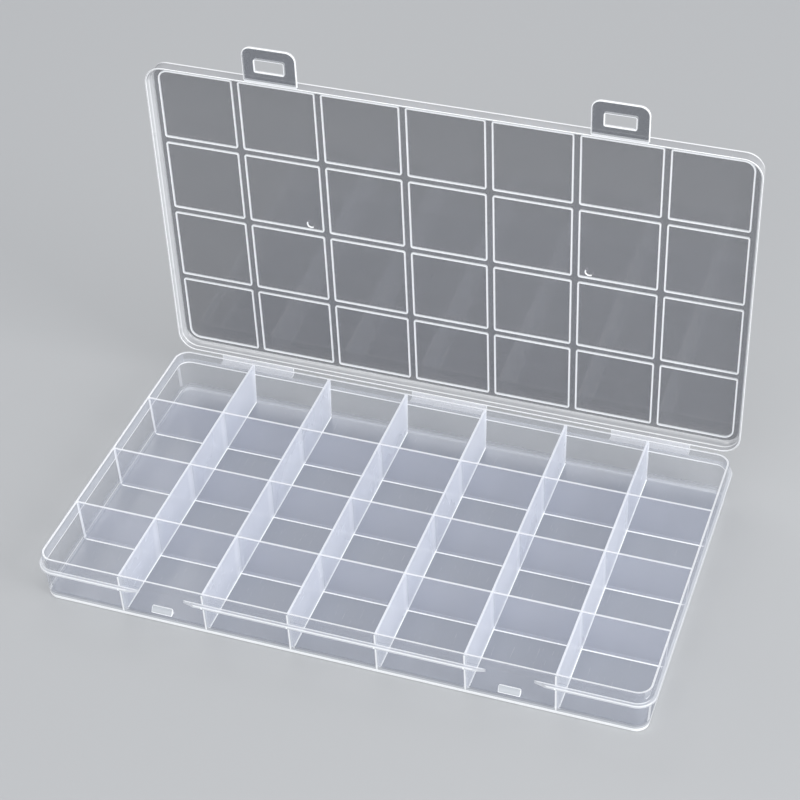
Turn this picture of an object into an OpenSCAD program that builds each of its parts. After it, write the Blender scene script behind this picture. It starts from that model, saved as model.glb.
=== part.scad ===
// Hinged bead organizer: one flat lid over a tray of fixed square compartments.
// Frame: X along the tray, Y from the latch side to the hinge side, Z up.
// Origin: centre of the tray's underside. The lid is drawn standing open.

/* [Compartments] */
// Number of compartments along the tray
column_count = 7; // [5:1:8]
// Number of compartments from front to back
row_count = 4; // [2:1:5]
// Distance between long dividers, centre to centre
pitch_x = 30; // [24:0.5:45]
// Distance between cross dividers, centre to centre
pitch_y = 30; // [24:0.5:45]
// How far the outer walls stand in from the grid of dividers
edge_inset = 0.28; // [0:0.02:1]
// Divider thickness at its top edge
divider_top_t = 0.8; // [0.6:0.1:1.2]
// Divider thickness where it meets the floor
divider_base_t = 1.1; // [0.8:0.1:1.6]

/* [Tray] */
// Height of the tray, from the table to the top of the lip
tray_h = 18; // [15:0.5:40]
// Thickness of the outer wall
wall_t = 1.1; // [0.8:0.1:1.6]
// Thickness of the floor
floor_t = 1.5; // [0.8:0.1:2.5]
// How much narrower each side is at the table than at the lip
wall_draft = 1; // [0:0.1:2]
// Outer corner radius at the lip
corner_r = 5.5; // [3:0.5:10]

/* [Rim] */
// Height of the lip that goes inside the lid
lip_h = 4.4; // [3:0.1:7]
// How far the flange stands out from the lip
flange_w = 1.05; // [0.8:0.05:1.4]
// Thickness of the flange
flange_t = 1.1; // [0.8:0.1:2]
// Width of the flange's gap for a latch, at the wall
notch_wall_w = 16; // [14:0.5:22]
// Width of that gap beside the latch tab
notch_mid_w = 22; // [20.5:0.5:24]
// Width of that gap at the flange's outer edge
notch_outer_w = 27.6; // [25:0.2:29]

/* [Lid] */
// Thickness of the lid's flat panel
panel_t = 1; // [0.8:0.1:2]
// Thickness of the lid's skirt
skirt_t = 0.8; // [0.6:0.1:1.6]
// How much wider each side of the skirt is at its rim than at the panel
skirt_draft = 0.5; // [0:0.1:0.8]
// Clearance between the skirt and the lip
skirt_gap = 0.3; // [0.2:0.05:0.6]
// Clearance under the panel and under the skirt's rim when closed
lid_gap = 0.3; // [0.2:0.05:0.5]
// Height of the locating ribs below the panel
rib_h = 0.6; // [0.5:0.1:0.7]
// Thickness of a locating rib
rib_t = 0.6; // [0.4:0.1:0.6]
// Clearance between a locating rib and the divider or wall beside it
rib_gap = 0.6; // [0.5:0.05:1.2]
// Radius of a rib frame's inner corners
rib_corner_r = 0.6; // [0.4:0.1:1.5]

/* [Hinge] */
// Angle that the lid stands open, from closed
lid_open = 88; // [0:1:180]
// Number of hinge strips
strip_count = 3; // [2:1:3]
// Width of one hinge strip
strip_w = 28.6; // [16:0.2:40]
// Distance of the outer strips from the middle, in dividers
strip_step = 2.5; // [1.5:0.5:2.5]
// Thickness of a hinge strip
strip_t = 0.5; // [0.3:0.1:0.7]
// Distance from the flange's edge to the fold line
fold_reach = 2.4; // [2:0.1:3]
// Half the width of the thin film that is left at the fold
film_half = 0.15; // [0.15:0.05:0.3]

/* [Latches] */
// Width of a latch tab
tab_w = 19.5; // [16:0.5:20]
// Thickness of a latch tab
tab_t = 1; // [0.8:0.1:1.5]
// Radius of a tab's free corners
tab_corner_r = 3.5; // [1:0.5:4]
// Width of the tab's slot
slot_w = 10.2; // [8:0.2:12]
// Height of the tab's slot
slot_h = 4.3; // [4.1:0.1:5]
// Length of the tab beyond its slot
tab_end_l = 4.8; // [4:0.1:6]
// Distance from the skirt's rim to the tab's root, bridged by a thin film
tab_film = 0.4; // [0.3:0.1:0.6]
// How far a closed tab leans in towards the tray's wall, in degrees
tab_lean = 10; // [8:1:11]
// Height of a closed tab's tip above the table
tab_clear = 0.5; // [0.3:0.1:3]
// Width of the catch on the tray's front wall
catch_w = 7.4; // [5:0.2:7.6]
// Height of the catch
catch_h = 2.2; // [1.5:0.1:3]
// How far the catch goes into the tab's slot
catch_bite = 0.7; // [0.4:0.1:1]
// Clearance between the catch and the tab
catch_gap = 0.3; // [0.2:0.1:0.5]

/* [Hidden] */
$fn = 96;
eps = 1;

// Tray
half_x = column_count * pitch_x / 2;
half_y = row_count * pitch_y / 2;
lip_x = half_x - edge_inset + wall_t / 2;
lip_y = half_y - edge_inset + wall_t / 2;
wall_slope = wall_draft / tray_h;
flange_z = tray_h - lip_h;
flange_x = lip_x + flange_w;
flange_y = lip_y + flange_w;
latch_columns = [2, column_count - 1];

// Lid, in its closed place
rim_z = flange_z + lid_gap;
inner_z = tray_h + lid_gap;
outer_z = inner_z + panel_t;
skirt_slope = -skirt_draft / (outer_z - rim_z);
lid_x = lip_x + skirt_gap + skirt_t - skirt_slope * (inner_z - rim_z);
lid_y = lip_y + skirt_gap + skirt_t - skirt_slope * (inner_z - rim_z);
lid_r = corner_r + lid_x - lip_x;
fold_y = flange_y + fold_reach;
fold_z = flange_z + lid_gap / 2;

// Latch tab, measured from its film line
tab_axis_y = -lid_y - tab_film / 2;
tab_axis_z = rim_z;
tab_l = (rim_z - tab_clear - tab_t * sin(tab_lean)) / cos(tab_lean);
slot_end = tab_l - tab_end_l;
catch_z = tab_axis_z - slot_end * cos(tab_lean) + catch_gap;
catch_y = tab_axis_y + slot_end * sin(tab_lean) - catch_bite;

function column_x(i) = -half_x + i * pitch_x;
function row_y(j) = -half_y + j * pitch_y;
// Where the wall's outer face is at height z, as a half width
function outer_face(half, z) = half - wall_slope * (tray_h - z);
function strip_x(k) = (k - (strip_count + 1) / 2) * strip_step * pitch_x * 2 / (strip_count - 1);

// Rectangle with round corners, centred, given by half sizes
module round_rect(hx, hy, r) {
    square([2 * (hx - r), 2 * hy], center = true);
    square([2 * hx, 2 * (hy - r)], center = true);
    for (sx = [-1, 1], sy = [-1, 1])
        translate([sx * (hx - r), sy * (hy - r)])
            circle(r = r);
}

// Section in Y and Z, drawn along X
module along_x(x0, x1) {
    translate([x0, 0, 0])
        rotate([90, 0, 90])
            linear_extrude(x1 - x0)
                children();
}

// Section in X and Z, drawn along Y
module along_y(y0, y1) {
    translate([0, y1, 0])
        rotate([90, 0, 0])
            linear_extrude(y1 - y0)
                children();
}

// Symmetric trapezoid from half width a at z0 to half width b at z1
module taper(a, z0, b, z1) {
    polygon([[-a, z0], [a, z0], [b, z1], [-b, z1]]);
}

// Round-cornered block whose sides lean by slope, with its half sizes given at height z_ref
module drafted_block(hx, hy, r, z0, z1, slope, z_ref) {
    low = slope * (z0 - z_ref);
    high = slope * (z1 - z_ref);
    along_x(-(hx - r), hx - r)
        taper(hy + low, z0, hy + high, z1);
    along_y(-(hy - r), hy - r)
        taper(hx + low, z0, hx + high, z1);
    for (sx = [-1, 1], sy = [-1, 1])
        translate([sx * (hx - r), sy * (hy - r), z0])
            cylinder(h = z1 - z0, r1 = r + low, r2 = r + high);
}

// The hollow of the tray, above the floor
module tray_hollow() {
    drafted_block(lip_x - wall_t, lip_y - wall_t, corner_r - wall_t, floor_t, tray_h + eps, wall_slope, tray_h);
}

// Gap in the flange where a latch tab comes past
module flange_notch() {
    wall_y = -outer_face(lip_y, flange_z);
    mid_y = -(flange_y - 0.5 * flange_w);
    polygon([
        [-notch_wall_w / 2, -lip_y + wall_t],
        [-notch_wall_w / 2, wall_y],
        [-notch_mid_w / 2, mid_y],
        [-notch_outer_w / 2, -flange_y - eps],
        [notch_outer_w / 2, -flange_y - eps],
        [notch_mid_w / 2, mid_y],
        [notch_wall_w / 2, wall_y],
        [notch_wall_w / 2, -lip_y + wall_t]
    ]);
}

module flange() {
    translate([0, 0, flange_z - flange_t])
        linear_extrude(flange_t)
            difference() {
                round_rect(flange_x, flange_y, corner_r + flange_w);
                for (c = latch_columns)
                    translate([column_x(c - 0.5), 0])
                        flange_notch();
            }
}

module tray_shell() {
    color([0.86, 0.89, 0.92, 0.45])
        difference() {
            union() {
                drafted_block(lip_x, lip_y, corner_r, 0, tray_h, wall_slope, tray_h);
                flange();
            }
            tray_hollow();
        }
}

// Thickness section of a divider, standing on the floor
module divider_section() {
    taper(divider_base_t / 2, floor_t, divider_top_t / 2, tray_h);
}

// Divider that runs from the front wall to the back wall
module long_divider(i) {
    face = lip_y - wall_t;
    color([0.9, 0.92, 0.95, 0.5])
        intersection() {
            translate([column_x(i), 0, 0])
                along_y(-face, face)
                    divider_section();
            along_x(-half_x, half_x)
                taper(outer_face(face, floor_t), floor_t, face, tray_h);
        }
}

// Half the thickness of a divider at height z
function divider_half(z) =
    (divider_base_t + (divider_top_t - divider_base_t) * (z - floor_t) / (tray_h - floor_t)) / 2;
// Face that bounds a cell at height z, on the side dir of it: of the outer wall at the ends, else of a divider
function cell_face(at_end, grid, lip, dir, z) =
    at_end ? dir * outer_face(lip - wall_t, z) : grid - dir * divider_half(z);
function face_x(i, dir, z) = cell_face(i == 0 || i == column_count, column_x(i), lip_x, dir, z);
function face_y(j, dir, z) = cell_face(j == 0 || j == row_count, row_y(j), lip_y, dir, z);

// Panel of cross divider j that closes column i
module cross_divider(j, i) {
    color([0.92, 0.94, 0.96, 0.5])
        intersection() {
            translate([0, row_y(j), 0])
                along_x(column_x(i - 1) - eps, column_x(i) + eps)
                    divider_section();
            along_y(-half_y, half_y)
                polygon([
                    [face_x(i - 1, -1, floor_t), floor_t],
                    [face_x(i, 1, floor_t), floor_t],
                    [face_x(i, 1, tray_h), tray_h],
                    [face_x(i - 1, -1, tray_h), tray_h]
                ]);
        }
}

// Wedge that the closed tab's slot goes over
module latch_catch(k) {
    x = column_x(latch_columns[k - 1] - 0.5);
    color([0.93, 0.95, 0.97, 0.6])
        along_x(x - catch_w / 2, x + catch_w / 2)
            polygon([
                [-outer_face(lip_y, catch_z), catch_z],
                [-outer_face(lip_y, catch_z + catch_h), catch_z + catch_h],
                [catch_y, catch_z]
            ]);
}

module hinge_strip_tray_leaf(k) {
    color([0.9, 0.93, 0.95, 0.6])
        translate([strip_x(k) - strip_w / 2, flange_y, flange_z - strip_t])
            cube([strip_w, fold_reach - film_half, strip_t]);
}

// Turns what is drawn in the closed place to where the open lid stands
module lid_place() {
    translate([0, fold_y, fold_z])
        rotate([-lid_open, 0, 0])
            translate([0, -fold_y, -fold_z])
                children();
}

module lid_shell() {
    color([0.86, 0.89, 0.92, 0.4])
        lid_place()
            difference() {
                drafted_block(lid_x, lid_y, lid_r, rim_z, outer_z, skirt_slope, rim_z);
                drafted_block(
                    lid_x - skirt_t, lid_y - skirt_t, lid_r - skirt_t,
                    rim_z - eps, inner_z, skirt_slope, rim_z
                );
            }
}

// Rectangle between two corners, given in any order
module rect_between(p, q) {
    translate([min(p[0], q[0]), min(p[1], q[1])])
        square([abs(q[0] - p[0]), abs(q[1] - p[1])]);
}

// Outline of one rib frame, grown outwards by out from the middle of its rib
module rib_outline(i, j, out) {
    inset = rib_gap + rib_t / 2 - out;
    x = [face_x(i - 1, -1, tray_h) + inset, face_x(i, 1, tray_h) - inset];
    y = [face_y(j - 1, -1, tray_h) + inset, face_y(j, 1, tray_h) - inset];
    mid = [(x[0] + x[1]) / 2, (y[0] + y[1]) / 2];
    for (a = [0, 1], b = [0, 1]) {
        at_end = a == 0 ? i == 1 : i == column_count;
        at_side = b == 0 ? j == 1 : j == row_count;
        // the frames at the lid's corners follow the round of the lip
        r = max(at_end && at_side ? corner_r - wall_t - inset : 0, rib_corner_r + out);
        centre = [a == 0 ? x[0] + r : x[1] - r, b == 0 ? y[0] + r : y[1] - r];
        translate(centre)
            circle(r = r);
        rect_between(mid, [x[a], centre[1]]);
        rect_between(mid, [centre[0], y[b]]);
    }
}

// One row of rib frames, which drop into the compartments along the dividers
module lid_rib_frames_row(j) {
    color([0.96, 0.97, 0.98, 0.7])
        lid_place()
            for (i = [1 : column_count])
                translate([0, 0, inner_z - rib_h])
                    linear_extrude(rib_h)
                        difference() {
                            rib_outline(i, j, rib_t / 2);
                            rib_outline(i, j, -rib_t / 2);
                        }
}

module hinge_strip_lid_leaf(k) {
    color([0.9, 0.93, 0.95, 0.6])
        lid_place()
            translate([strip_x(k) - strip_w / 2, lid_y, rim_z])
                cube([strip_w, fold_y - film_half - lid_y, strip_t]);
}

// Tab outline, with its film line on the X axis and its tip towards -Y
module tab_outline() {
    root = tab_film / 2;
    difference() {
        union() {
            translate([-tab_w / 2, -tab_l + tab_corner_r])
                square([tab_w, tab_l - tab_corner_r - root]);
            translate([-tab_w / 2 + tab_corner_r, -tab_l])
                square([tab_w - 2 * tab_corner_r, tab_corner_r]);
            for (sx = [-1, 1])
                translate([sx * (tab_w / 2 - tab_corner_r), -tab_l + tab_corner_r])
                    circle(r = tab_corner_r);
        }
        translate([-slot_w / 2, -slot_end])
            square([slot_w, slot_h]);
    }
}

module latch_tab(k) {
    color([0.9, 0.92, 0.95, 0.55])
        lid_place()
            translate([column_x(latch_columns[k - 1] - 0.5), tab_axis_y, tab_axis_z])
                linear_extrude(tab_t)
                    tab_outline();
}

tray_shell();
for (i = [1 : column_count - 1])
    long_divider(i);
for (j = [1 : row_count - 1], i = [1 : column_count])
    cross_divider(j, i);
for (k = [1 : 2])
    latch_catch(k);
for (k = [1 : strip_count])
    hinge_strip_tray_leaf(k);
lid_shell();
for (j = [1 : row_count])
    lid_rib_frames_row(j);
for (k = [1 : strip_count])
    hinge_strip_lid_leaf(k);
for (k = [1 : 2])
    latch_tab(k);
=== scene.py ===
import math

import bmesh
import bpy
from mathutils import Matrix, Vector


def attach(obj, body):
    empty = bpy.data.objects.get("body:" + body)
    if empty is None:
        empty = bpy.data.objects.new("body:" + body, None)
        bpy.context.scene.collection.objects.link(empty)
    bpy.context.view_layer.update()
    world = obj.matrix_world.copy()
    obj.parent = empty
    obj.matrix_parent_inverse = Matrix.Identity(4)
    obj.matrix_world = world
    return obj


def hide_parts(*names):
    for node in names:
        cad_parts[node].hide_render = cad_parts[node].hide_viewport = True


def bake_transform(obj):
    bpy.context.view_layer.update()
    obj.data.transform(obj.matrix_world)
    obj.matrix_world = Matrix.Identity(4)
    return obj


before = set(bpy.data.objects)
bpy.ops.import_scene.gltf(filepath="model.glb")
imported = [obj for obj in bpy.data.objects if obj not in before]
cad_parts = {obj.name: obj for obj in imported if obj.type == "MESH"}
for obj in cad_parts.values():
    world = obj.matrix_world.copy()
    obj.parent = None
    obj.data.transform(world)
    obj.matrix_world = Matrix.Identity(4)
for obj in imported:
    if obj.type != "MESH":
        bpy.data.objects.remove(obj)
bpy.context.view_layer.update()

MM = 0.001

# Sizes of the box in millimetres, as the CAD model has them
COLUMNS, ROWS, PITCH = 7, 4, 30.0
HALF_X, HALF_Y = COLUMNS * PITCH / 2, ROWS * PITCH / 2
TRAY_H, FLOOR_T, WALL_T, WALL_SLOPE, CORNER_R = 18.0, 1.5, 1.1, 1.0 / 18.0, 5.5
LIP_OUT = 0.27     # the lip's outer face, past the grid of compartments
LIP_X, LIP_Y = HALF_X + LIP_OUT, HALF_Y + LIP_OUT
DIVIDER_TOP, DIVIDER_BASE = 0.8, 1.1
FLANGE_Z, FLANGE_T, FLANGE_W = 13.6, 1.1, 1.05     # FLANGE_Z is its top
RIM_Z, INNER_Z, OUTER_Z = 13.9, 18.3, 19.3     # heights of the closed lid
SKIRT_T, SKIRT_SLOPE, SKIRT_GAP = 0.8, 0.5 / 5.4, 0.3
SKIRT_OUT = SKIRT_GAP + SKIRT_T + SKIRT_SLOPE * (INNER_Z - RIM_Z)
LID_X, LID_Y = LIP_X + SKIRT_OUT, LIP_Y + SKIRT_OUT
LID_R = CORNER_R + LID_X - LIP_X
RIB_H, RIB_T, RIB_GAP, RIB_CORNER_R = 0.6, 0.6, 0.6, 0.6
FOLD_Y, FOLD_Z = LIP_Y + FLANGE_W + 2.4, FLANGE_Z + 0.15
STRIP_W, STRIP_T, STRIP_PLACES = 28.6, 0.5, (-75.0, 0.0, 75.0)
LATCH_PLACES = (-60.0, 60.0)
GATE_PLACES = ((-51.0, -3.5), (50.0, -3.5))     # small dished marks where the lid was filled
TAB_W, TAB_T, TAB_R, TAB_FILM = 19.5, 1.0, 3.5, 0.4
SLOT_W, SLOT_H, TAB_END = 10.2, 4.3, 4.8     # TAB_END is the bar between slot and tip
TAB_Y = -LID_Y - TAB_FILM / 2
TAB_LEAN = math.radians(10)
TAB_L = (RIM_Z - 0.5 - TAB_T * math.sin(TAB_LEAN)) / math.cos(TAB_LEAN)
SLOT_END = TAB_L - TAB_END
CATCH_W, CATCH_H = 7.4, 2.2
CATCH_Z = RIM_Z - SLOT_END * math.cos(TAB_LEAN) + 0.3
CATCH_Y = TAB_Y + SLOT_END * math.sin(TAB_LEAN) - 0.7
SUNK = 0.05     # how far a moulded part runs into the one it grows out of
PAINTED_FOOT_BANDS = (0.9, 1.8)     # heights above the floor between which the painted light over the foot fades
PANEL_EDGE, SKIRT_ROUND = 0.15, 0.45     # both below the lid panel's inner face

FOLD = Matrix.Translation((0, FOLD_Y * MM, FOLD_Z * MM))
OPEN_ANGLE = 88
LID_OPEN = FOLD @ Matrix.Rotation(math.radians(-OPEN_ANGLE), 4, "X") @ FOLD.inverted()


# ---------- Modelling tools ----------

def to_object_mode():
    if bpy.context.mode != "OBJECT":
        bpy.ops.object.mode_set(mode="OBJECT")


def start_piece(name):
    """Empty mesh object at the origin, in edit mode."""
    to_object_mode()
    bpy.ops.object.select_all(action="DESELECT")
    bpy.ops.mesh.primitive_plane_add(size=2 * MM, location=(0, 0, 0))
    piece = bpy.context.object
    piece.name = name
    piece.data.name = name
    bpy.ops.object.mode_set(mode="EDIT")
    bpy.ops.mesh.select_all(action="SELECT")
    bpy.ops.mesh.delete(type="VERT")
    bpy.ops.mesh.select_mode(type="VERT")
    bmesh.from_edit_mesh(piece.data).verts.layers.int.new("loop_number")
    return piece


def add_loop(piece, number, centre, half, radius, z, steps):
    """One level outline, a rectangle whose corners are rounded, marked with its number."""
    bpy.ops.mesh.select_all(action="DESELECT")
    middle = (centre[0] * MM, centre[1] * MM, z * MM)
    bpy.ops.mesh.primitive_plane_add(size=2 * MM, location=middle)
    bpy.ops.transform.resize(value=(half[0], half[1], 1), center_override=middle)
    radii = radius if isinstance(radius, dict) else {None: radius}
    for corner, r in radii.items():
        if r <= 0:
            continue
        mesh = bmesh.from_edit_mesh(piece.data)
        tag = mesh.verts.layers.int["loop_number"]
        if corner is not None:
            reach = Vector((corner[0] * half[0], corner[1] * half[1], 0)) * MM
            spot = Vector(middle) + reach
            fresh = [v for v in mesh.verts if v[tag] == 0]
            nearest = min(fresh, key=lambda v: (v.co - spot).length)
            for v in mesh.verts:
                v.select = v is nearest
            mesh.select_flush_mode()
        bpy.ops.mesh.bevel(affect="VERTICES", offset=r * MM, segments=steps)
    mesh = bmesh.from_edit_mesh(piece.data)
    tag = mesh.verts.layers.int["loop_number"]
    for v in mesh.verts:
        v.select = v[tag] == 0
        if v.select:
            v[tag] = number
    mesh.select_flush_mode()
    for face in mesh.faces:
        face.select = all(v[tag] == number for v in face.verts)
    bpy.ops.mesh.delete(type="ONLY_FACE")


def select_loops(piece, numbers):
    bpy.ops.mesh.select_all(action="DESELECT")
    bpy.ops.mesh.select_mode(type="EDGE")
    mesh = bmesh.from_edit_mesh(piece.data)
    tag = mesh.verts.layers.int["loop_number"]
    for edge in mesh.edges:
        a, b = (v[tag] for v in edge.verts)
        edge.select = a == b and a in numbers
    mesh.select_flush_mode()


def stack_loops(name, loops, steps=6, ring=False):
    """Closed shape through a stack of outlines: each is (centre, half sizes, corner radius,
    height). The first and last are filled, or for a ring joined to each other. The outlines
    stand well apart while they are bridged, because level ones would be joined with a twist,
    and then go to their heights."""
    piece = start_piece(name)
    apart = 3.0
    for k, (centre, half, radius, _) in enumerate(loops, 1):
        bpy.ops.mesh.select_mode(type="VERT")
        add_loop(piece, k, centre, half, radius, k * apart, steps)
    pairs = [(k, k + 1) for k in range(1, len(loops))] + ([(len(loops), 1)] if ring else [])
    for pair in pairs:
        select_loops(piece, pair)
        bpy.ops.mesh.bridge_edge_loops()
    if not ring:
        for end in (1, len(loops)):
            select_loops(piece, (end,))
            bpy.ops.mesh.edge_face_add()
    for k, (_, _, _, z) in enumerate(loops, 1):
        select_loops(piece, (k,))
        bpy.ops.transform.translate(value=(0, 0, (z - k * apart) * MM))
    bpy.ops.mesh.select_all(action="SELECT")
    bpy.ops.mesh.normals_make_consistent(inside=False)
    to_object_mode()
    piece.data.attributes.remove(piece.data.attributes["loop_number"])
    return piece


def only(piece):
    to_object_mode()
    bpy.ops.object.select_all(action="DESELECT")
    piece.select_set(True)
    bpy.context.view_layer.objects.active = piece


def copy_of(piece, name, shift=(0, 0, 0)):
    """Copy with a mesh of its own, moved by shift in millimetres."""
    twin = piece.copy()
    twin.data = piece.data.copy()
    twin.name = name
    twin.data.name = name
    bpy.context.scene.collection.objects.link(twin)
    twin.data.transform(Matrix.Translation(Vector(shift) * MM))
    return twin


def joined(pieces, name):
    only(pieces[0])
    for p in pieces[1:]:
        p.select_set(True)
    bpy.ops.object.join()
    pieces[0].name = name
    pieces[0].data.name = name
    return pieces[0]


def cut(piece, tool, operation="DIFFERENCE"):
    only(piece)
    step = piece.modifiers.new("cut", "BOOLEAN")
    step.operation = operation
    step.solver = "EXACT"
    step.object = tool
    bpy.ops.object.modifier_apply(modifier=step.name)
    bpy.data.objects.remove(tool)


def soften(piece, width, segments, angle):
    """Small moulded round along every edge sharper than angle."""
    only(piece)
    step = piece.modifiers.new("soften", "BEVEL")
    step.width = width * MM
    step.segments = segments
    step.limit_method = "ANGLE"
    step.angle_limit = math.radians(angle)
    step.use_clamp_overlap = True
    bpy.ops.object.modifier_apply(modifier=step.name)


def smooth(piece, angle=35):
    """Smooth shading across the rounds, while the broad faces stay flat."""
    only(piece)
    bpy.ops.object.shade_smooth_by_angle(angle=math.radians(angle))
    step = piece.modifiers.new("flat faces", "WEIGHTED_NORMAL")
    step.keep_sharp = True
    bpy.ops.object.modifier_apply(modifier=step.name)


def mark_faces(piece, rule, name="painted_edge_light"):
    """Stores a value from 0 to 1 on each face. The rule gets the face's centre in millimetres
    and its normal. The default value is how much painted highlight and glow an edge gets, thick
    says where the plastic is thick, and the joint values where painted bright joint lines show."""
    store = piece.data.attributes.new(name, "FLOAT", "FACE")
    for face in piece.data.polygons:
        store.data[face.index].value = rule(face.center / MM, face.normal)


def past_outline(c, hx, hy, r):
    """How far a point lies outside a round-cornered rectangle, negative inside it."""
    dx, dy = abs(c.x) - (hx - r), abs(c.y) - (hy - r)
    return (math.hypot(dx, dy) if dx > 0 and dy > 0 else max(dx, dy)) - r


def round_points(o, z, r, start, end, n):
    """Points on an arc in the wall's section, as (how far out, height)."""
    turn = [math.radians(start + (end - start) * k / n) for k in range(n + 1)]
    return [(o + r * math.cos(a), z + r * math.sin(a)) for a in turn]


def around(section, hx, hy, r):
    """Outlines that follow a round-cornered rectangle, from a section of (how far out, height)."""
    return [((0, 0), (hx + o, hy + o), max(r + o, 0.25), z) for o, z in section]


# ---------- Tray ----------

def model_tray_moulding():
    lean = lambda z: -WALL_SLOPE * (TRAY_H - z)
    foot, lip, lip_inside, floor_round = 0.45, 0.4, 0.15, 0.9
    out = lean(foot) - foot
    inner = lambda z: lean(z) - WALL_T
    section = round_points(out, foot, foot, -90, 0, 4)
    # loops also at the heights where the painted light above the foot changes
    section += [(lean(FLOOR_T + up), FLOOR_T + up) for up in (0, *PAINTED_FOOT_BANDS)]
    section += round_points(lean(TRAY_H - lip) - lip, TRAY_H - lip, lip, 0, 90, 3)
    low_lip = TRAY_H - lip_inside
    section += round_points(inner(low_lip) + lip_inside, low_lip, lip_inside, 90, 180, 3)
    section += [(inner(z), z) for z in (FLANGE_Z + 0.3, FLANGE_Z - 0.15)]
    top_of_round = FLOOR_T + floor_round
    section += round_points(inner(top_of_round) - floor_round, top_of_round, floor_round, 0, -90, 5)
    body = stack_loops("tray_moulding", around(section, LIP_X, LIP_Y, CORNER_R), steps=10)

    edge = 0.3
    top, low = FLANGE_Z, FLANGE_Z - FLANGE_T
    ring = [(-0.6, low)] + round_points(FLANGE_W - edge, low + edge, edge, -90, 0, 3)
    ring += round_points(FLANGE_W - edge, top - edge, edge, 0, 90, 3)
    ring += [(0.06, top), (-0.08, top + 0.07), (-0.2, top + 0.24), (-0.6, top + 0.26)]
    flange = stack_loops("flange", around(ring, LIP_X, LIP_Y, CORNER_R), steps=10, ring=True)
    for x in LATCH_PLACES:
        cut(flange, model_latch_gap(x))
    cut(body, flange, "UNION")
    smooth(body, 32)
    return body


def front_wall(z):
    """Y of the front wall's outer face at a height."""
    return -(LIP_Y - WALL_SLOPE * (TRAY_H - z))


def model_latch_gap(x):
    """Block that cuts the flange open for a latch, wider towards the outside."""
    wall, rim = front_wall(FLANGE_Z), -(LIP_Y + FLANGE_W)
    low, height, past = 11.0, 4.0, 0.6
    half_widths = ((8.0, wall + past), (8.0, wall), (11.0, rim + FLANGE_W / 2), (13.8, rim - past))
    w0, y0 = half_widths[0]
    to_object_mode()
    bpy.ops.object.select_all(action="DESELECT")
    bpy.ops.mesh.primitive_plane_add(size=2 * MM, location=(x * MM, y0 * MM, low * MM))
    block = bpy.context.object
    bpy.ops.object.transform_apply(location=True, rotation=True, scale=True)
    bpy.ops.object.mode_set(mode="EDIT")
    bpy.ops.mesh.select_all(action="SELECT")
    bpy.ops.transform.resize(value=(w0, 0, 1), center_override=(x * MM, y0 * MM, low * MM))
    bpy.ops.mesh.remove_doubles(threshold=1e-5)
    for (w0, y0), (w1, y1) in zip(half_widths, half_widths[1:]):
        bpy.ops.mesh.extrude_edges_move(TRANSFORM_OT_translate={"value": (0, (y1 - y0) * MM, 0)})
        bpy.ops.transform.resize(value=(w1 / w0, 1, 1), center_override=(x * MM, y1 * MM, low * MM))
    bpy.ops.mesh.select_all(action="SELECT")
    bpy.ops.mesh.extrude_region_move(TRANSFORM_OT_translate={"value": (0, 0, height * MM)})
    bpy.ops.mesh.select_all(action="SELECT")
    bpy.ops.mesh.normals_make_consistent(inside=False)
    to_object_mode()
    return block


def divider_half(z):
    return (DIVIDER_BASE + (DIVIDER_TOP - DIVIDER_BASE) * (z - FLOOR_T) / (TRAY_H - FLOOR_T)) / 2


def divider_levels():
    """Heights of a divider's outlines with its half thickness there: flared foot, taper, round top."""
    flare, top = 0.38, 0.24
    levels = [(FLOOR_T - SUNK, divider_half(FLOOR_T) + flare)]
    for k in range(5):
        a = math.radians(90 * k / 4)
        up, out = flare * (1 - math.cos(a)), flare * (1 - math.sin(a))
        levels.append((FLOOR_T + up, divider_half(FLOOR_T + up) + out))
    for k in range(4):
        a = math.radians(90 * k / 3)
        half = divider_half(TRAY_H) - top + top * math.cos(a)
        levels.append((TRAY_H - top + top * math.sin(a), half))
    return levels


def wall_face(lip, z):
    """How far the wall's inner face is from the middle, below a lip that is lip away."""
    return lip - WALL_T - WALL_SLOPE * (TRAY_H - z)


def model_long_divider():
    loops = [((0, 0), (t, wall_face(LIP_Y, z) + SUNK), 0, z) for z, t in divider_levels()]
    divider = stack_loops("long_divider", loops)
    smooth(divider, 50)
    return divider


def model_cross_divider(side):
    """Panel between two long dividers, or with side -1 or 1 between one and the end wall."""
    end_column = HALF_X - PITCH / 2
    loops = []
    for z, t in divider_levels():
        left, right = -PITCH / 2 + divider_half(z), PITCH / 2 - divider_half(z)
        if side < 0:
            left = end_column - wall_face(LIP_X, z)
        if side > 0:
            right = wall_face(LIP_X, z) - end_column
        left, right = left - SUNK, right + SUNK
        loops.append((((left + right) / 2, 0), ((right - left) / 2, t), 0, z))
    divider = stack_loops("cross_divider", loops)
    smooth(divider, 50)
    return divider


def model_latch_catch():
    """Wedge on the front wall, its edges rounded, with the flat face down."""
    levels = ((0, 0.22), (0.07, 0.07), (0.25, 0),
              (CATCH_H - 0.35, 0), (CATCH_H - 0.1, 0.12), (CATCH_H, 0.35))
    in_wall, corner = 0.3, 0.18
    slant = front_wall(CATCH_Z + CATCH_H) - 0.12 - CATCH_Y
    loops = []
    for up, shrink in levels:
        z = CATCH_Z + up
        back = front_wall(z) + in_wall
        nose = CATCH_Y + slant * (up / CATCH_H) + shrink
        middle, half = (0, (back + nose) / 2), (CATCH_W / 2 - shrink, (back - nose) / 2)
        loops.append((middle, half, corner, z))
    catch = stack_loops("latch_catch", loops, steps=3)
    smooth(catch)
    return catch


# ---------- Lid, modelled in its closed place and then stood up ----------

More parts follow.
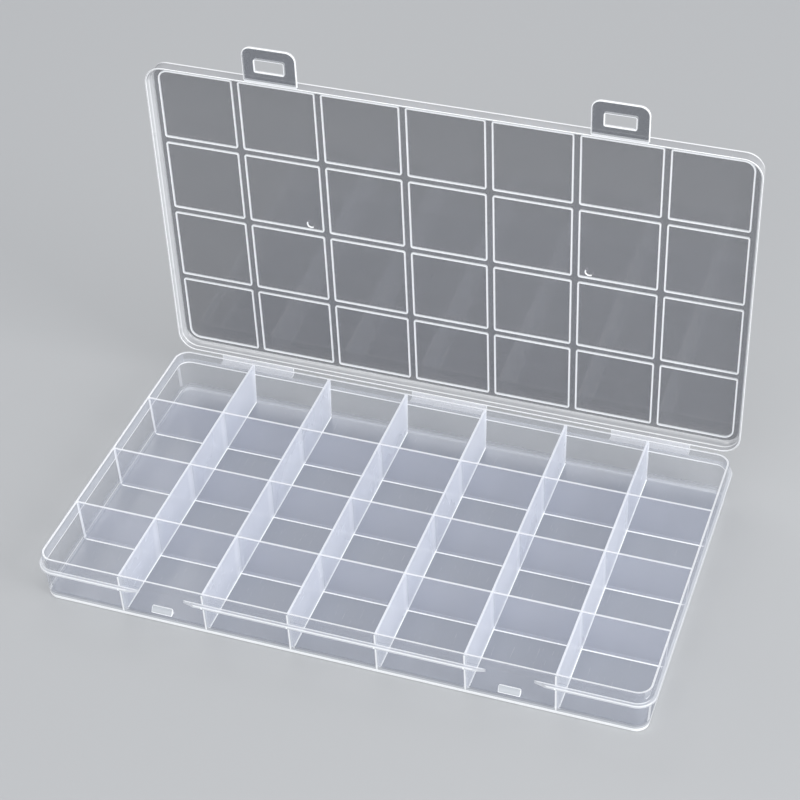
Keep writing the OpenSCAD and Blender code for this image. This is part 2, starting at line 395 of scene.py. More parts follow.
def model_lid_moulding():
    lean = lambda z: -SKIRT_SLOPE * (z - RIM_Z)
    edge, rim, thin = 0.6, 0.18, 0.6     # the skirt is thin at its rim, up to a small step
    step_low, step_high = RIM_Z + 1.6, RIM_Z + 2.0
    inside = lambda z: lean(z) - SKIRT_T
    section = round_points(lean(OUTER_Z - edge) - edge, OUTER_Z - edge, edge, 90, 0, 6)
    section += [(lean(INNER_Z - PANEL_EDGE), INNER_Z - PANEL_EDGE)]
    section += round_points(lean(RIM_Z + rim) - rim, RIM_Z + rim, rim, 0, -90, 3)
    section += round_points(-thin + rim, RIM_Z + rim, rim, -90, -180, 3)
    section += [(lean(step_low) - thin, step_low), (inside(step_high), step_high)]
    low = INNER_Z - SKIRT_ROUND
    section += round_points(inside(low) - SKIRT_ROUND, low, SKIRT_ROUND, 0, 90, 4)
    lid = stack_loops("lid_moulding", around(section, LID_X, LID_Y, LID_R), steps=12)
    dish_levels = ((1.8, -0.3), (1.62, -0.02), (1.45, 0.12), (1.3, 0.2), (1.15, 0.22))
    for x, y in GATE_PLACES:
        loops = [((x, y), (r, r), r * 0.9, INNER_Z + up) for r, up in dish_levels]
        cut(lid, stack_loops("gate_dish", loops, steps=8))
    smooth(lid, 32)
    return lid


def rib_cell(i, j):
    """Middle line of the rib frame over compartment i, j: its centre, half sizes and corner radii."""
    inset = RIB_GAP + RIB_T / 2
    ends = []
    for k, count, lip in ((i, COLUMNS, LIP_X), (j, ROWS, LIP_Y)):
        grid = -count * PITCH / 2
        low = -wall_face(lip, TRAY_H) if k == 1 else grid + (k - 1) * PITCH + DIVIDER_TOP / 2
        high = wall_face(lip, TRAY_H) if k == count else grid + k * PITCH - DIVIDER_TOP / 2
        ends.append((low + inset, high - inset))
    centre = tuple((a + b) / 2 for a, b in ends)
    half = tuple((b - a) / 2 for a, b in ends)
    big = {}
    for sx, end_i in ((-1, 1), (1, COLUMNS)):
        for sy, end_j in ((-1, 1), (1, ROWS)):
            wide = i == end_i and j == end_j
            big[(sx, sy)] = CORNER_R - WALL_T - inset if wide else RIB_CORNER_R
    return centre, half, big


def model_rib_frame(i, j):
    centre, half, corners = rib_cell(i, j)
    tip, base = INNER_Z - RIB_H, INNER_Z + SUNK
    t, r = RIB_T / 2, 0.2
    round_tip = [(t - r + r * math.cos(a), tip + r - r * math.sin(a)) for a in (0, 0.8, math.pi / 2)]
    section = [(t, base)] + round_tip
    section += [(-o, z) for o, z in reversed(round_tip)] + [(-t, base)]
    loops = []
    for o, z in section:
        rounds = {corner: rounding + o for corner, rounding in corners.items()}
        loops.append((centre, (half[0] + o, half[1] + o), rounds, z))
    frame_of_ribs = stack_loops("rib_frame", loops, steps=5, ring=True)
    smooth(frame_of_ribs, 40)
    return frame_of_ribs


def model_latch_tab():
    """Tab with round free corners and a slot, its film line on the X axis and its tip towards -Y."""
    root = TAB_FILM / 2
    middle = (0, -(root + TAB_L) / 2)
    half = (TAB_W / 2, (TAB_L - root) / 2)
    radii = lambda o: {(-1, -1): TAB_R + o, (1, -1): TAB_R + o, (-1, 1): 0.25, (1, 1): 0.25}
    e = 0.38     # the rounded edge all round, in two steps
    section = [(-e, 0), (-e * 0.3, e * 0.3), (0, e)]
    section += [(0, TAB_T - e), (-e * 0.3, TAB_T - e * 0.3), (-e, TAB_T)]
    loops = [(middle, (half[0] + o, half[1] + o), radii(o), z) for o, z in section]
    plate = stack_loops("latch_tab", loops, steps=8)
    slot_middle = (0, -SLOT_END + SLOT_H / 2)
    flare = [(0.99, -0.3), (0.42, 0), (0, 0.22)]
    flare += [(o, TAB_T - z) for o, z in reversed(flare)]
    slot_r = 0.3
    loops = [(slot_middle, (SLOT_W / 2 + o, SLOT_H / 2 + o), slot_r + o, z) for o, z in flare]
    cut(plate, stack_loops("slot", loops, steps=4))
    smooth(plate, 35)
    return plate


def model_latch_film():
    """Thin web that a tab bends at, between the skirt's rim and the tab's root."""
    reach = TAB_FILM / 2 + 0.25
    section = [(-0.05, 0.04), (0, 0.1), (0, 0.26), (-0.05, 0.32)]
    half_w = TAB_W / 2 - 0.3
    film = stack_loops("latch_film", [((0, 0), (half_w + o, reach), 0, z) for o, z in section])
    smooth(film)
    return film


# ---------- Hinge strips, modelled as the lid stands open ----------

def model_hinge_strip():
    """One band from the flange, bent up at its thin film, to the lid's rim."""
    z0 = FLANGE_Z - STRIP_T / 2
    start = LIP_Y + FLANGE_W - 0.3
    to_object_mode()
    bpy.ops.object.select_all(action="DESELECT")
    place = Vector((0, start, z0))
    bpy.ops.mesh.primitive_plane_add(size=2 * MM, location=place * MM, rotation=(math.pi / 2, 0, 0))
    band = bpy.context.object
    bpy.ops.object.transform_apply(location=True, rotation=True, scale=True)
    bpy.ops.object.mode_set(mode="EDIT")
    bpy.ops.mesh.select_all(action="SELECT")
    bpy.ops.transform.resize(value=(STRIP_W / 2, 1, STRIP_T / 2), center_override=place * MM)
    heading = 0.0

    def push(length, turn=0.0, thinner=1.0):
        nonlocal place, heading
        heading += turn
        step = Vector((0, math.cos(heading), math.sin(heading))) * length
        bpy.ops.mesh.extrude_region_move(TRANSFORM_OT_translate={"value": step * MM})
        place = place + step
        if turn:
            bpy.ops.transform.rotate(value=-turn, orient_axis="X", center_override=place * MM)
        if thinner != 1.0:
            bpy.ops.transform.resize(value=(1, thinner, thinner), center_override=place * MM)

    end, before_fold, neck, film_share = 0.35, 0.62, 0.2, 0.62
    bends, bend_step = 8, 0.103
    push(end)
    push(FOLD_Y - before_fold - place.y)
    push(neck, thinner=film_share)
    for _ in range(bends):
        push(bend_step, turn=math.radians(90 / bends))
    push(neck, thinner=1 / film_share)
    lid_rim, lid_end = FOLD_Z + (FOLD_Y - LID_Y) + 0.3, 0.4
    push((lid_rim - lid_end) - place.z)
    push(lid_end)
    bpy.ops.mesh.select_all(action="SELECT")
    bpy.ops.mesh.normals_make_consistent(inside=False)
    to_object_mode()
    band.name = "hinge_strip"
    soften(band, 0.2, 2, 50)
    smooth(band, 30)
    return band


# ---------- Materials ----------

def new_group(name, inputs, outputs):
    group = bpy.data.node_groups.new(name, "ShaderNodeTree")
    for socket, kind, value in inputs:
        made = group.interface.new_socket(name=socket, in_out="INPUT", socket_type=kind)
        made.default_value = value
    for socket, kind in outputs:
        group.interface.new_socket(name=socket, in_out="OUTPUT", socket_type=kind)
    return group, group.nodes.new("NodeGroupInput"), group.nodes.new("NodeGroupOutput")


def feed(tree, socket, value):
    """Links a socket to another node's output, or sets it to a plain value."""
    if isinstance(value, bpy.types.NodeSocket):
        tree.links.new(value, socket)
    else:
        socket.default_value = value


def maths(tree, what, *values, clamp=False):
    node = tree.nodes.new("ShaderNodeMath")
    node.operation = what
    node.use_clamp = clamp
    for socket, value in zip(node.inputs, values):
        feed(tree, socket, value)
    return node.outputs[0]


def blend_values(tree, share, low, high):
    node = tree.nodes.new("ShaderNodeMapRange")
    for name, value in (("Value", share), ("To Min", low), ("To Max", high)):
        feed(tree, node.inputs[name], value)
    return node.outputs["Result"]


def noise(tree, place, scale, detail, rough=0.5):
    node = tree.nodes.new("ShaderNodeTexNoise")
    for name, value in (("Vector", place), ("Detail", detail), ("Roughness", rough), ("Scale", scale)):
        feed(tree, node.inputs[name], value)
    return node.outputs["Fac"]


def make_cloud_group():
    """Uneven milkiness of natural polypropylene: broad clouds with faint flow streaks."""
    group, gin, gout = new_group(
        "polypropylene_cloud",
        [("Clouds per metre", "NodeSocketFloat", 22.0), ("Streaks", "NodeSocketFloat", 0.35)],
        [("Cloud", "NodeSocketFloat")])
    place = group.nodes.new("ShaderNodeTexCoord").outputs["Object"]
    broad = noise(group, place, gin.outputs["Clouds per metre"], 2.0)
    stretch = group.nodes.new("ShaderNodeMapping")
    stretch.inputs["Scale"].default_value = (9, 60, 30)
    stretch.inputs["Rotation"].default_value = (0, 0, 0.35)
    group.links.new(place, stretch.inputs["Vector"])
    streak = noise(group, stretch.outputs[0], 1.0, 3.0, 0.6)
    mixed = group.nodes.new("ShaderNodeMix")
    group.links.new(gin.outputs["Streaks"], mixed.inputs[0])
    group.links.new(broad, mixed.inputs[2])
    group.links.new(streak, mixed.inputs[3])
    spread = group.nodes.new("ShaderNodeMapRange")
    spread.inputs["From Min"].default_value = 0.32
    spread.inputs["From Max"].default_value = 0.68
    group.links.new(mixed.outputs[0], spread.inputs["Value"])
    group.links.new(spread.outputs[0], gout.inputs["Cloud"])
    return group


def make_skin_group():
    """Surface of a polished mould with light handling: soft waves, fine grain and hairline rubs."""
    group, gin, gout = new_group(
        "moulded_skin",
        [("Wave", "NodeSocketFloat", 0.3), ("Grain", "NodeSocketFloat", 0.1),
         ("Rubs", "NodeSocketFloat", 0.15)],
        [("Normal", "NodeSocketVector"), ("Rub mask", "NodeSocketFloat")])
    place = group.nodes.new("ShaderNodeTexCoord").outputs["Object"]
    wave = noise(group, place, 95.0, 2.0)
    grain = noise(group, place, 2600.0, 2.0)
    stretch = group.nodes.new("ShaderNodeMapping")
    stretch.inputs["Scale"].default_value = (2600, 130, 900)
    stretch.inputs["Rotation"].default_value = (0.3, 0.5, 0.7)
    group.links.new(place, stretch.inputs["Vector"])
    hair = noise(group, stretch.outputs[0], 1.0, 2.0, 0.7)
    rub = group.nodes.new("ShaderNodeMapRange")
    rub.inputs["From Min"].default_value = 0.66
    rub.inputs["From Max"].default_value = 0.74
    group.links.new(hair, rub.inputs["Value"])
    height = maths(group, "MULTIPLY", wave, gin.outputs["Wave"])
    height = maths(group, "MULTIPLY_ADD", grain, gin.outputs["Grain"], height)
    dip = maths(group, "MULTIPLY", rub.outputs[0], gin.outputs["Rubs"])
    height = maths(group, "SUBTRACT", height, dip)
    bump = group.nodes.new("ShaderNodeBump")
    bump.inputs["Strength"].default_value = 0.35
    bump.inputs["Distance"].default_value = 0.0004
    group.links.new(height, bump.inputs["Height"])
    group.links.new(bump.outputs[0], gout.inputs["Normal"])
    group.links.new(rub.outputs[0], gout.inputs["Rub mask"])
    return group


def make_painted_joint_group():
    """Painted thin bright lines where dividers meet, every pitch along one axis."""
    group, gin, gout = new_group(
        "painted_joint_lines",
        [("Along", "NodeSocketFloat", 0.0), ("Height", "NodeSocketFloat", 0.0),
         ("Pitch", "NodeSocketFloat", PITCH * MM), ("Shift", "NodeSocketFloat", 0.0),
         ("Half width", "NodeSocketFloat", 0.0005), ("Reach", "NodeSocketFloat", 1.0)],
        [("Line", "NodeSocketFloat")])
    distance = maths(group, "ABSOLUTE", gin.outputs["Along"])
    inside = maths(group, "LESS_THAN", distance, gin.outputs["Reach"])
    above = maths(group, "GREATER_THAN", gin.outputs["Height"], (FLOOR_T + 0.1) * MM)
    moved = maths(group, "ADD", gin.outputs["Along"], gin.outputs["Shift"])
    off = maths(group, "PINGPONG", moved, maths(group, "MULTIPLY", gin.outputs["Pitch"], 0.5))
    near = maths(group, "DIVIDE", off, gin.outputs["Half width"])
    line = maths(group, "MULTIPLY_ADD", near, -2.5, 2.5, clamp=True)
    line = maths(group, "MULTIPLY", line, maths(group, "MULTIPLY", inside, above))
    group.links.new(line, gout.inputs["Line"])
    return group


def attribute(tree, name):
    """The value that mark_faces stored under a name."""
    node = tree.nodes.new("ShaderNodeAttribute")
    node.attribute_name = name
    return node.outputs["Fac"]


def placed(tree, group, values):
    """A shared effect put into a material, with its own values."""
    node = tree.nodes.new("ShaderNodeGroup")
    node.node_tree = group
    for name, value in values.items():
        feed(tree, node.inputs[name], value)
    return node


def mixed_colour(tree, share, a, b):
    node = tree.nodes.new("ShaderNodeMix")
    node.data_type = "RGBA"
    tree.links.new(share, node.inputs["Factor"])
    for socket, value in (("A", a), ("B", b)):
        target = [s for s in node.inputs if s.name == socket and s.type == "RGBA"][0]
        feed(tree, target, (*value, 1) if isinstance(value, tuple) else value)
    return [s for s in node.outputs if s.type == "RGBA"][0]


# Painted highlight: marked edges get this near white colour and a high alpha
PAINTED_HIGHLIGHT_COLOUR, EDGE_ALPHA = (0.95, 0.965, 0.98), 0.96
CLOUDS_PER_METRE = 22.0
RUB_ALPHA, RUB_ROUGHNESS = 0.06, 0.18     # what a rubbed patch adds
SHADOW_LET_THROUGH = 0.6     # share of alpha that a shadow ray doesn't see


def natural_plastic(name, dim, pale, clear, milky, roughness, wave=0.3, grain=0.03, rubs=0.15,
                    streaks=0.35, grazing=0.35, lines=(), thick=None, polish=0.0, painted_glow=0.12):
    """Translucent polypropylene: cloudy between dim and pale, alpha from clear to milky, more
    at a grazing angle, and painted near white with a painted glow where an edge is marked.
    Thick is a colour and alpha for the thick parts. Each of lines is a painted bright joint line,
    (axis, shift, half width, strength, reach), all in millimetres but the axis and the strength, and
    may name the face value that masks it."""
    material = bpy.data.materials.new(name)
    material.use_nodes = True
    tree = material.node_tree
    shader = tree.nodes["Principled BSDF"]
    cloud = placed(tree, CLOUD, {
        "Clouds per metre": CLOUDS_PER_METRE, "Streaks": streaks}).outputs["Cloud"]
    skin = placed(tree, SKIN, {"Wave": wave, "Grain": grain, "Rubs": rubs})
    edge = attribute(tree, "painted_edge_light")
    if lines:
        axes = tree.nodes.new("ShaderNodeSeparateXYZ")
        tree.links.new(tree.nodes.new("ShaderNodeTexCoord").outputs["Object"], axes.inputs[0])
        for axis, shift, half_width, strength, reach, *where in lines:
            line = placed(tree, PAINTED_JOINTS, {
                "Along": axes.outputs[axis], "Height": axes.outputs[2], "Shift": shift * MM,
                "Half width": half_width * MM, "Reach": reach * MM})
            drawn = maths(tree, "MULTIPLY", line.outputs[0], strength)
            if where:
                drawn = maths(tree, "MULTIPLY", drawn, attribute(tree, where[0]))
            edge = maths(tree, "MAXIMUM", edge, drawn)
    body = mixed_colour(tree, cloud, dim, pale)
    alpha = blend_values(tree, cloud, clear, milky)
    if thick:
        share = attribute(tree, "thick")
        body = mixed_colour(tree, share, body, thick[0])
        alpha = blend_values(tree, share, alpha, thick[1])
    facing = tree.nodes.new("ShaderNodeLayerWeight")
    facing.inputs["Blend"].default_value = 0.5
    slant = maths(tree, "POWER", facing.outputs["Facing"], 3.0)
    # Painted highlight: the marked edges are mixed towards near white
    tree.links.new(mixed_colour(tree, edge, body, PAINTED_HIGHLIGHT_COLOUR), shader.inputs["Base Color"])
    # Painted glow: the marked edges also give off light of their own
    tree.links.new(mixed_colour(tree, edge, (0, 0, 0), PAINTED_HIGHLIGHT_COLOUR), shader.inputs["Emission Color"])
    shader.inputs["Emission Strength"].default_value = painted_glow
    alpha = maths(tree, "MULTIPLY_ADD", slant, grazing, alpha)
    alpha = maths(tree, "MULTIPLY_ADD", skin.outputs["Rub mask"], RUB_ALPHA, alpha)
    alpha = blend_values(tree, edge, alpha, EDGE_ALPHA)
    in_shadow = tree.nodes.new("ShaderNodeLightPath").outputs["Is Shadow Ray"]
    let_through = maths(tree, "MULTIPLY_ADD", in_shadow, -SHADOW_LET_THROUGH, 1.0)
    tree.links.new(maths(tree, "MULTIPLY", alpha, let_through), shader.inputs["Alpha"])
    gloss = blend_values(tree, cloud, roughness * 0.85, roughness * 1.25)
    gloss = maths(tree, "MULTIPLY_ADD", skin.outputs["Rub mask"], RUB_ROUGHNESS, gloss)
    tree.links.new(gloss, shader.inputs["Roughness"])
    tree.links.new(skin.outputs["Normal"], shader.inputs["Normal"])
    shader.inputs["IOR"].default_value = 1.49
    if polish:
        shader.inputs["Coat Weight"].default_value = polish
        shader.inputs["Coat Roughness"].default_value = 0.06
        shader.inputs["Specular IOR Level"].default_value = 0.9
    return material


CLOUD, SKIN, PAINTED_JOINTS = make_cloud_group(), make_skin_group(), make_painted_joint_group()

PLASTICS = {
    "tray_plastic": natural_plastic(
        "tray_polypropylene", (0.40, 0.425, 0.485), (0.48, 0.505, 0.565), 0.14, 0.21,
        roughness=0.2, grazing=0.25, thick=((0.405, 0.43, 0.49), 0.6),
        # painted bright lines where the dividers meet the walls
        lines=((0, 15.0, 0.4, 0.9, 100, "painted_joints_outside"),
               (0, 15.0, 0.9, 0.8, 100, "painted_joints_inside"),
               (1, 0.0, 0.95, 1.0, 55, "painted_joints_inside"))),
    # Painted light: the long dividers are the same plastic as the panels across them, made lighter and
    # more milky because the key light falls on their faces
    "divider_plastic": natural_plastic(
        "divider_polypropylene", (0.73, 0.76, 0.845), (0.78, 0.81, 0.885), 0.68, 0.78,
        roughness=0.26, wave=0.12, grazing=0.2, painted_glow=0.1,
        # painted bright lines where the panels meet, with a broad faint painted glow around them
        lines=((1, 0.0, 0.35, 0.6, 55), (1, 0.0, 4.0, 0.2, 61))),
    # Painted shade: the panels across are made darker and clearer than the long dividers, because less
    # light falls on their faces
    "cross_plastic_painted_shade": natural_plastic(
        "cross_divider_painted_shade_polypropylene", (0.54, 0.57, 0.67), (0.61, 0.64, 0.74), 0.15, 0.22,
        roughness=0.26, wave=0.15, grazing=0.2, painted_glow=0.1),
    "catch_plastic": natural_plastic(
        "catch_polypropylene", (0.40, 0.43, 0.47), (0.46, 0.49, 0.53), 0.8, 0.88, roughness=0.25),
    "lid_plastic": natural_plastic(
        "lid_polypropylene", (0.12, 0.125, 0.145), (0.175, 0.18, 0.20), 0.48, 0.56,
        roughness=0.12, wave=0.22, grain=0.008, rubs=0.08, grazing=0.2, polish=1.0,
        painted_glow=0.16),
    "rib_plastic": natural_plastic(
        "rib_polypropylene", (0.52, 0.54, 0.58), (0.62, 0.64, 0.68), 0.8, 0.88, roughness=0.3),
    "strip_plastic": natural_plastic(
        "hinge_strip_polypropylene", (0.74, 0.75, 0.78), (0.80, 0.81, 0.84), 0.82, 0.88,
        roughness=0.3, wave=0.15, streaks=0.1),
    "tab_plastic": natural_plastic(
        "tab_polypropylene", (0.14, 0.15, 0.17), (0.20, 0.21, 0.24), 0.6, 0.68,
        roughness=0.2, painted_glow=0.14),
}


def dress(piece, plastic, body, rule, nodes):
    """Finish, painted edge highlights, body and CAD nodes of one piece."""
    mark_faces(piece, rule)
    piece.data.materials.append(PLASTICS[plastic])
    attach(piece, body)
    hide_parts(*nodes)
    return piece


# ---------- Where each piece is painted with highlights at its edges ---
# In these rules c is a face's centre in millimetres and n its normal.

LEVEL, UPRIGHT = 0.97, 0.2     # how far n.z goes on a level face, and up to where it is a wall's
LIP_ROUND = 0.4     # height of the lip's rounded edge


def faces_out(c, n):
    return c.x * n.x + c.y * n.y > 0


def on_end_lip(c, n):
    """Band inside an end wall, from the flange up to the lip."""
    in_band = FLANGE_Z + 0.4 < c.z < TRAY_H - LIP_ROUND
    return abs(n.x) > 0.7 and c.x * n.x < 0 and in_band


def tray_painted_light(c, n):
    # Painted highlights and glow on the tray's lip, foot, flange and corners
    past = past_outline(c, LIP_X, LIP_Y, CORNER_R)
    if past < -3.5:
        return 0.0
    outward = faces_out(c, n)
    # painted highlights on the lip's top and inner round
    if c.z > TRAY_H - LIP_ROUND:
        at_hinge = c.y > LIP_Y - 2 and abs(c.x) < LIP_X - CORNER_R
        light = 0.7 if n.z > LEVEL else 0.05 if outward else 0.85
        return light * (0.9 if at_hinge else 1.0)     # painted shade, fainter in front of the standing lid
    if c.z < FLOOR_T and n.z < 0.5:
        return 1.0 if c.z > 0.02 and n.z > -0.8 else 0.3     # painted bright line on the round foot, dimmer on the underside
    if not outward and abs(n.z) < UPRIGHT and FLANGE_Z - 0.2 < c.z < FLANGE_Z + 0.35:
        return 0.2 if c.y < -LIP_Y + 3 else 0.95     # painted bright line where the flange's root shows through the wall, dim at the front
    # dim painted light on the band inside the end walls
    if on_end_lip(c, n) and not outward:
        return 0.2
    # painted light on the outer wall just above the floor, fading in two bands
    if outward and abs(n.z) < UPRIGHT and FLOOR_T < c.z < FLOOR_T + PAINTED_FOOT_BANDS[1]:
        return 0.45 if c.z < FLOOR_T + PAINTED_FOOT_BANDS[0] else 0.25
    if outward and 0.86 < abs(n.x) < 0.99 and c.z < FLANGE_Z:
        return 0.6     # painted highlight where the round corners turn into the end walls
    # painted highlight along the flange's edges, less on its two ends
    if past > -0.3 and FLANGE_Z - FLANGE_T - 0.02 < c.z < FLANGE_Z + 0.3:
        along_end = n.x ** 4 / max(1e-6, (1 - n.z * n.z) ** 2)     # 1 on the flange's two ends
        if UPRIGHT < n.z < LEVEL:
            return 0.75 - 0.15 * along_end if past > 0.3 else 0.65 - 0.4 * along_end
        if past > 0:
            return 0.55 - 0.3 * along_end if -UPRIGHT < n.z < LEVEL else 0.35
    return 0.0


def painted_joints_outside(c, n):
    """Front wall's outer face, where painted bright lines stand for the ends of the dividers showing
    through.
    """
    return 1.0 if n.y < -0.9 and c.y < 0 else 0.0


def painted_joints_inside(c, n):
    """Inner faces of the back wall and end walls, where painted bright lines mark the dividers meeting
    them.
    """
    return 1.0 if abs(n.z) < 0.5 and c.x * n.x + c.y * n.y < 0 and n.y < 0.9 else 0.0


def tray_thickness(c, n):
    """The floor is thick, its edge and the end walls' lip less so, and the walls thin."""
    if on_end_lip(c, n):
        return 0.7
    if c.z > FLOOR_T + 1.15:
        return 0.0
    if abs(n.z) < 0.1:
        return 0.35
    return 1.0 if past_outline(c, LIP_X, LIP_Y, CORNER_R) < -3.0 or n.z > 0.9 else 0.8


def catch_painted_light(c, n):
    """Painted highlights: sides and flat underside bright, the top edge a little less."""
    if abs(n.x) > 0.2 or c.z < CATCH_Z + 0.3:
        return 1.0
    return 0.8 if c.z > CATCH_Z + CATCH_H - 0.15 else 0.1


DIVIDER_ROUND, FOOT_LINE = 0.25, 0.2     # heights of a divider's round top and its painted bright foot line


def divider_painted_light(c, n):
    # painted highlight on the round top, and a painted bright line at the foot
    if c.z > TRAY_H - DIVIDER_ROUND:
        return 0.3 if n.z > 0.7 else 0.15
    return 0.95 if c.z < FLOOR_T + FOOT_LINE else 0.0


def panel_painted_light(c, n):
    # painted highlight on the round top, and a painted bright foot line, brighter on the front side
    if c.z > TRAY_H - DIVIDER_ROUND:
        return 0.7 if n.z > 0.7 else 0.4
    return (0.95 if n.y < 0 else 0.45) if c.z < FLOOR_T + FOOT_LINE else 0.0


def lid_painted_light(c, n):
    # Painted highlights on the lid's rim, skirt, panel edge and dished marks
    past = past_outline(c, LID_X, LID_Y, LID_R)
    if past < -4:
        if c.z > INNER_Z and abs(n.z) < 0.995:     # painted highlight on one side of the dished marks
            return 1.0 if 0.6 * n.x - 0.8 * n.y > 0.3 * math.hypot(n.x, n.y) else 0.1
        return 0.0
    # painted highlight on the skirt's rim, less on its level faces
    if c.z < RIM_Z + 0.2:
        return 0.55 if abs(n.z) > LEVEL else 1.0
    if RIM_Z + 1.5 < c.z < RIM_Z + 2.1 and abs(n.z) > UPRIGHT:
        return 0.8     # painted highlight on the small step inside the skirt
    if c.z > INNER_Z - PANEL_EDGE and abs(n.z) < LEVEL and faces_out(c, n):
        return 1.0     # painted highlight on the round outer edge of the panel
    if INNER_Z - SKIRT_ROUND < c.z < INNER_Z and abs(n.z) > 0.1:
        return 0.3     # painted light on the round between the skirt and the panel, inside
    if abs(n.z) > LEVEL:
        return 0.0
    # painted light on the skirt's faces, more on the faces at the lid's ends
    return (0.38 if faces_out(c, n) else 0.32) + 0.3 * n.x ** 4


def tab_painted_light(c, n):
    # painted highlights on the tab's rounded edges and slot, half on its upright sides
    if abs(n.z) > LEVEL:
        return 0.0
    return 1.0 if abs(n.z) > UPRIGHT else 0.5


def rib_painted_light(c, n):
    # painted highlight on the ribs' tips, less on their sides
    return 0.95 if n.z < -0.5 else 0.35


def band_painted_light(c, n):
    """Painted highlight on the cut ends of a hinge band."""
    return 1.0 if abs(n.x) > 0.3 else 0.0


def film_painted_light(c, n):
    # painted light all over the thin film
    return 0.4


# ---------- Build the tray ----------

tray = dress(model_tray_moulding(), "tray_plastic", "tray", tray_painted_light, ["tray_shell"])
mark_faces(tray, tray_thickness, "thick")
mark_faces(tray, painted_joints_outside, "painted_joints_outside")
mark_faces(tray, painted_joints_inside, "painted_joints_inside")

long_divider = model_long_divider()
for i in range(1, COLUMNS):
    x = -HALF_X + i * PITCH
    dress(copy_of(long_divider, f"divider_front_to_back_{i}", (x, 0, 0)),
          "divider_plastic", "tray", divider_painted_light, [f"long_divider_{i}"])
bpy.data.objects.remove(long_divider)

panels = {side: model_cross_divider(side) for side in (-1, 0, 1)}
for j in range(1, ROWS):
    for i in range(1, COLUMNS + 1):
        side = -1 if i == 1 else 1 if i == COLUMNS else 0
        place = (-HALF_X + (i - 0.5) * PITCH, -HALF_Y + j * PITCH, 0)
        dress(copy_of(panels[side], f"panel_row_{j}_column_{i}", place),
              "cross_plastic_painted_shade", "tray", panel_painted_light, [f"cross_divider_{j}_{i}"])
for panel in panels.values():
    bpy.data.objects.remove(panel)

catch = model_latch_catch()
for k, x in enumerate(LATCH_PLACES, 1):
    dress(copy_of(catch, f"catch_wedge_{k}", (x, 0, 0)),
          "catch_plastic", "tray", catch_painted_light, [f"latch_catch_{k}"])
bpy.data.objects.remove(catch)

# ---------- Build the lid ----------

lid = dress(model_lid_moulding(), "lid_plastic", "lid", lid_painted_light, ["lid_shell"])
lid.data.transform(LID_OPEN)

for j in range(1, ROWS + 1):
    middle = model_rib_frame(2, j)
    frames = [model_rib_frame(1, j)]
    frames += [copy_of(middle, f"rib_frame_{i}", ((i - 2) * PITCH, 0, 0)) for i in range(3, COLUMNS)]
    frames += [middle, model_rib_frame(COLUMNS, j)]
    row = joined(frames, f"rib_frames_row_{j}")
    dress(row, "rib_plastic", "lid", rib_painted_light, [f"lid_rib_frames_row_{j}"])
    row.data.transform(LID_OPEN)

strip = model_hinge_strip()
for k, x in enumerate(STRIP_PLACES, 1):
    band = copy_of(strip, f"hinge_band_{k}", (x, 0, 0))
    mark_faces(band, band_painted_light)
    band.data.materials.append(PLASTICS["strip_plastic"])
    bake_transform(band)
    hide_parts(f"hinge_strip_tray_leaf_{k}", f"hinge_strip_lid_leaf_{k}")
bpy.data.objects.remove(strip)

tab, film = model_latch_tab(), model_latch_film()
for k, (x, body) in enumerate(zip(LATCH_PLACES, ("latch_left", "latch_right")), 1):
    plate = copy_of(tab, f"tab_plate_{k}", (x, TAB_Y, RIM_Z))
    dress(plate, "tab_plastic", body, tab_painted_light, [f"latch_tab_{k}"])
    plate.data.transform(LID_OPEN)
    web = copy_of(film, f"tab_film_{k}", (x, TAB_Y, RIM_Z))
    mark_faces(web, film_painted_light)
    web.data.materials.append(PLASTICS["strip_plastic"])
    web.data.transform(LID_OPEN)
    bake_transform(web)
for spare in (tab, film):
    bpy.data.objects.remove(spare)

# ---------- Floor, light and camera ----------

to_object_mode()
bpy.ops.object.select_all(action="DESELECT")
bpy.ops.mesh.primitive_plane_add(size=9, location=(0, 0, -0.0001))
floor = bpy.context.object
floor.name = "studio_floor"
floor_paint = bpy.data.materials.new("studio_floor_paint")
floor_paint.use_nodes = True
floor_shader = floor_paint.node_tree.nodes["Principled BSDF"]
floor_shader.inputs["Base Color"].default_value = (0.48, 0.49, 0.50, 1)
floor_shader.inputs["Roughness"].default_value = 0.85
floor_shader.inputs["Specular IOR Level"].default_value = 0.2
floor.data.materials.append(floor_paint)


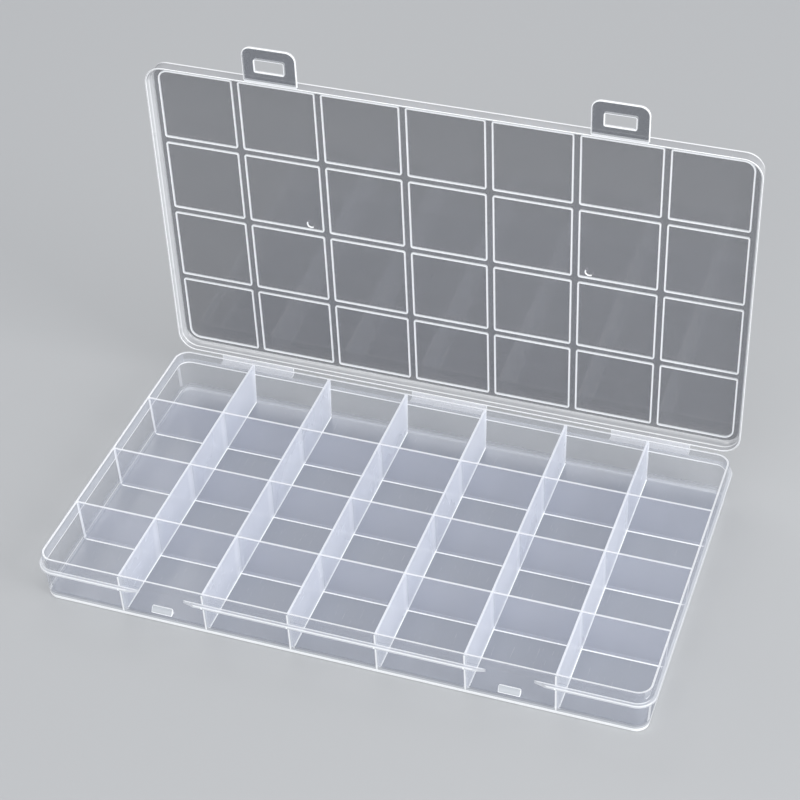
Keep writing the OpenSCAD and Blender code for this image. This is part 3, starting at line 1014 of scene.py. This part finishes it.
def soft_lamp(name, place, aim, size, watts):
    data = bpy.data.lights.new(name, "AREA")
    data.shape = "RECTANGLE"
    data.size, data.size_y = size
    data.energy = watts
    lamp = bpy.data.objects.new(name, data)
    bpy.context.scene.collection.objects.link(lamp)
    lamp.location = place
    lamp.rotation_euler = (Vector(aim) - Vector(place)).to_track_quat("-Z", "Y").to_euler()


soft_lamp("key_softbox", (1.3, -0.35, 0.75), (0, 0.0, 0.0), (0.8, 0.8), 16.0)
soft_lamp("front_softbox", (-0.15, -1.5, 0.75), (0, 0.05, 0.03), (1.4, 0.9), 11.0)
soft_lamp("back_softbox", (-0.6, 1.1, 1.1), (0, 0.0, 0.05), (1.0, 0.6), 7.0)
soft_lamp("top_softbox", (0.0, -0.1, 1.5), (0, 0.0, 0.0), (1.2, 1.2), 5.0)

world = bpy.data.worlds.new("studio_room")
bpy.context.scene.world = world
world.use_nodes = True
background = world.node_tree.nodes["Background"]
background.inputs["Color"].default_value = (0.93, 0.95, 1.0, 1)
background.inputs["Strength"].default_value = 0.36

azimuth, elevation, roll = (math.radians(a) for a in (20.137, 38.704, -1.902))
target, distance = Vector((-0.023774, 0.076522, 0)), 0.799218
level = math.cos(elevation)
back = Vector((math.sin(azimuth) * level, -math.cos(azimuth) * level, math.sin(elevation)))
right = (-back).cross(Vector((0, 0, 1))).normalized()
up = right.cross(-back).normalized()
camera_right = right * math.cos(roll) + up * math.sin(roll)
camera_up = up * math.cos(roll) - right * math.sin(roll)
camera_data = bpy.data.cameras.new("photo_camera")
camera_data.sensor_fit = "HORIZONTAL"
camera_data.sensor_width = 36
camera_data.lens = 95.605
camera_data.clip_end = 20
camera = bpy.data.objects.new("photo_camera", camera_data)
bpy.context.scene.collection.objects.link(camera)
turn = Matrix((camera_right, camera_up, back)).transposed()
camera.matrix_world = Matrix.Translation(target + back * distance) @ turn.to_4x4()
bpy.context.scene.camera = camera

bpy.context.scene.view_settings.view_transform = "Standard"
bpy.context.scene.cycles.transparent_max_bounces = 64
bpy.context.scene.cycles.max_bounces = 12
